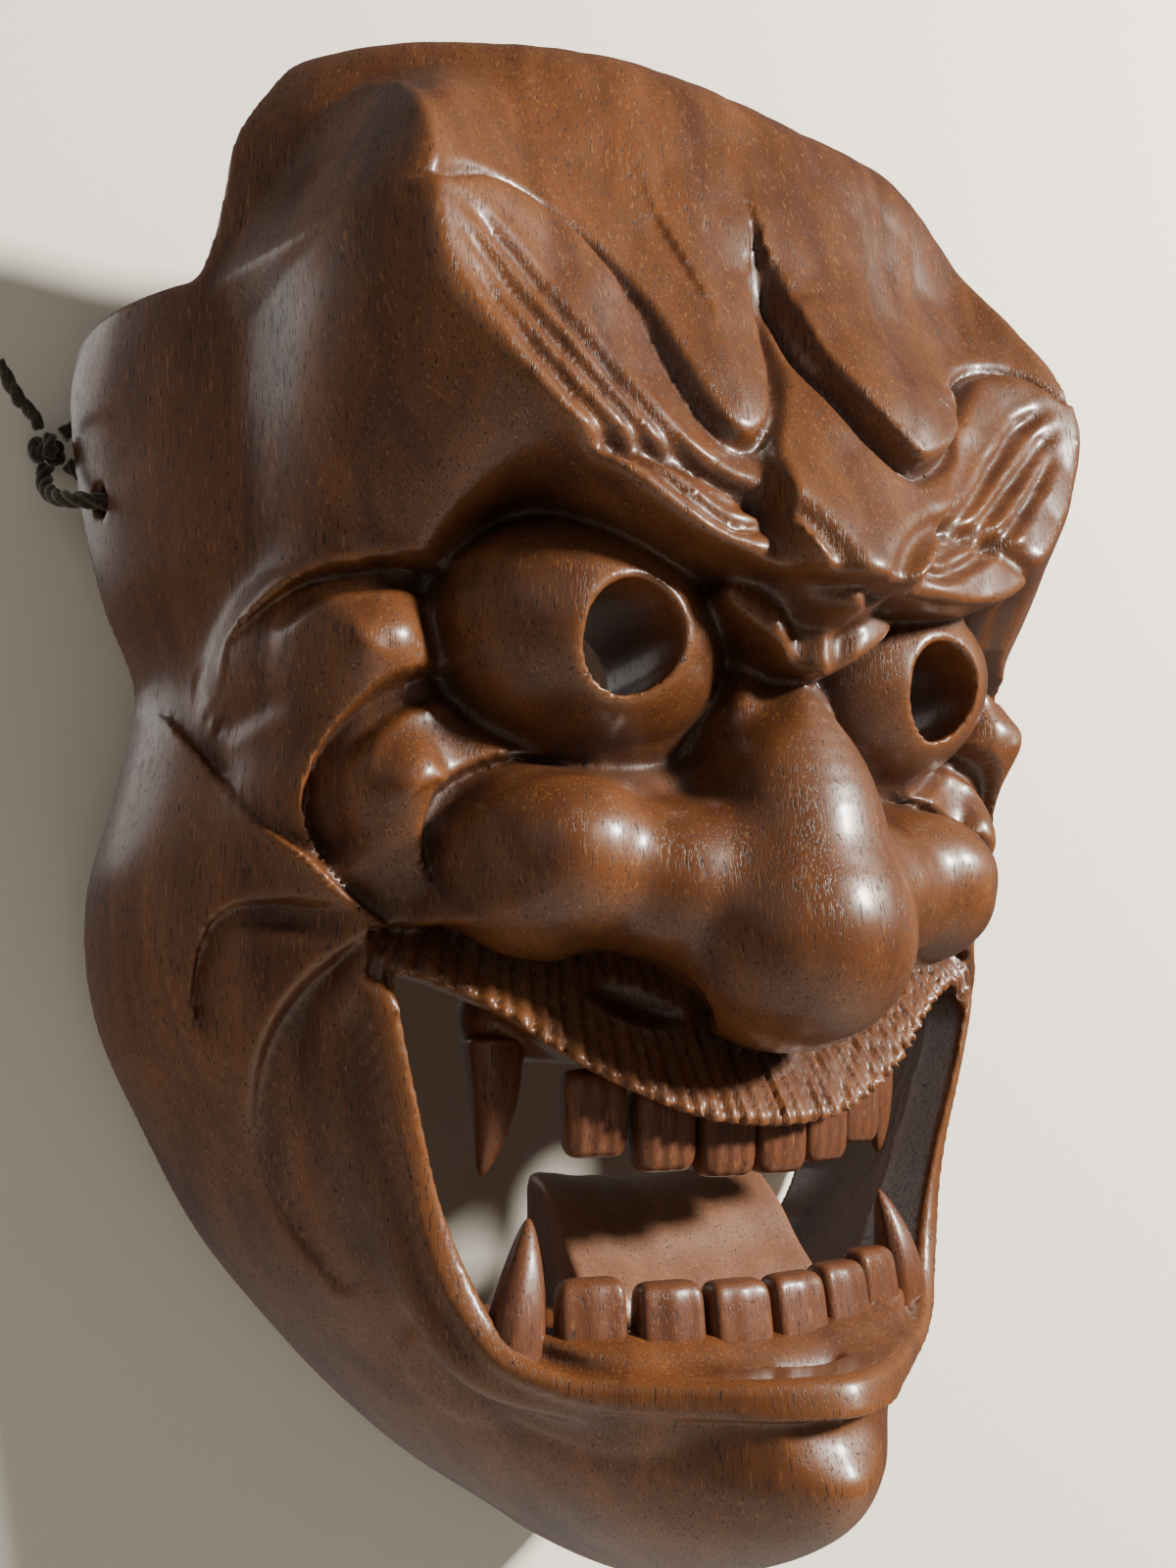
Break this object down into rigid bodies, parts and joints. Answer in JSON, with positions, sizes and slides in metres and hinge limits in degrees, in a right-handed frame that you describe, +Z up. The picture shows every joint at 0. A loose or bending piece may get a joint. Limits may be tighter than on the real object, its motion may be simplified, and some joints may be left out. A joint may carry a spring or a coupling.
{
  "type": "noh mask",
  "caption": "Carved wooden demon mask: a hollow bowl with bulging eyes, drooping brows, a wide open mouth with teeth, fangs and tongue, and a cord to hang it by.",
  "frame": {"origin": "the point on a wall hook that the hanging cord bears on, in the mask's plane of symmetry; the back rim's plane passes through it", "axes": "+Z up, the mask faces -Y with its back rim in the plane y = 0, +X is the mask's own left, the viewer's right"},
  "size_m": [0.2172, 0.1085, 0.3004],
  "materials": {
    "carved_wood": "reddish-brown open-grained hardwood, hand carved, thin satin varnish",
    "tooth_wood": "the same hardwood with knife marks, thinner varnish",
    "tongue_wood": "the same hardwood, gouged across and dusty",
    "cord_fibre": "dark two-ply twisted cord, slightly fuzzy"
  },
  "bodies": {
    "root": {"face_shell": "carved_wood", "upper_tooth_1": "tooth_wood", "upper_tooth_2": "tooth_wood", "upper_tooth_3": "tooth_wood", "upper_tooth_4": "tooth_wood", "upper_tooth_5": "tooth_wood", "upper_tooth_6": "tooth_wood", "lower_tooth_1": "tooth_wood", "lower_tooth_2": "tooth_wood", "lower_tooth_3": "tooth_wood", "lower_tooth_4": "tooth_wood", "lower_tooth_5": "tooth_wood", "lower_tooth_6": "tooth_wood", "upper_fang_right": "tooth_wood", "upper_fang_left": "tooth_wood", "lower_fang_right": "tooth_wood", "lower_fang_left": "tooth_wood", "tongue": "tongue_wood", "hanging_cord": "cord_fibre", "cord_hitch": "cord_fibre", "cord_hitch_tail": "cord_fibre", "rim_loop_right": "cord_fibre", "rim_knot_right": "cord_fibre", "cord_tail_right": "cord_fibre", "rim_loop_left": "cord_fibre", "rim_knot_left": "cord_fibre", "cord_tail_left": "cord_fibre"}
  },
  "joints": []
}
